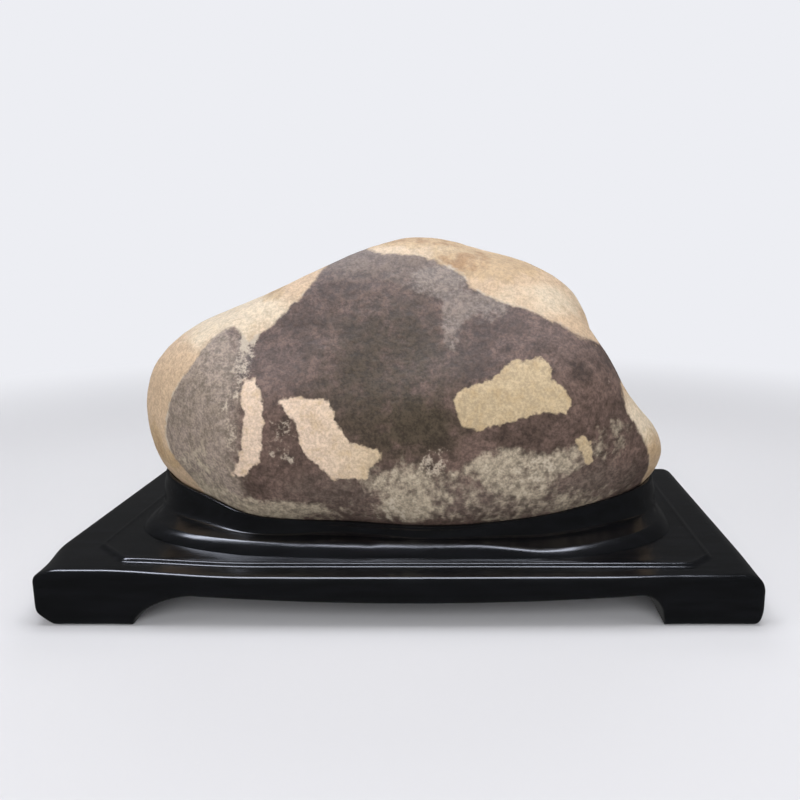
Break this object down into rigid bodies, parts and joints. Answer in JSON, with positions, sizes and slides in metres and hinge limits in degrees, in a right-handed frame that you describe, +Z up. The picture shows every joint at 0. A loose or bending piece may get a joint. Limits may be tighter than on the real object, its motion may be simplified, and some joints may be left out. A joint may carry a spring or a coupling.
{
  "type": "viewing stone on a wooden stand",
  "caption": "Water-worn boulder of purple claystone with cream patches, resting in the seat carved for it on a low black-lacquered wooden stand.",
  "frame": {"origin": "middle of the stand's footprint, on the surface that it stands on", "axes": "+X along the stand to the right as seen from the stone's dark face, +Y to the back, +Z up"},
  "size_m": [0.49, 0.2584, 0.253],
  "materials": {
    "claystone": "water-worn matt stone, purple-brown face with cream patches, cream back and top",
    "black_lacquer": "black satin lacquer over carved wood"
  },
  "bodies": {
    "root": {"stone": "claystone", "stand": "black_lacquer"}
  },
  "joints": []
}
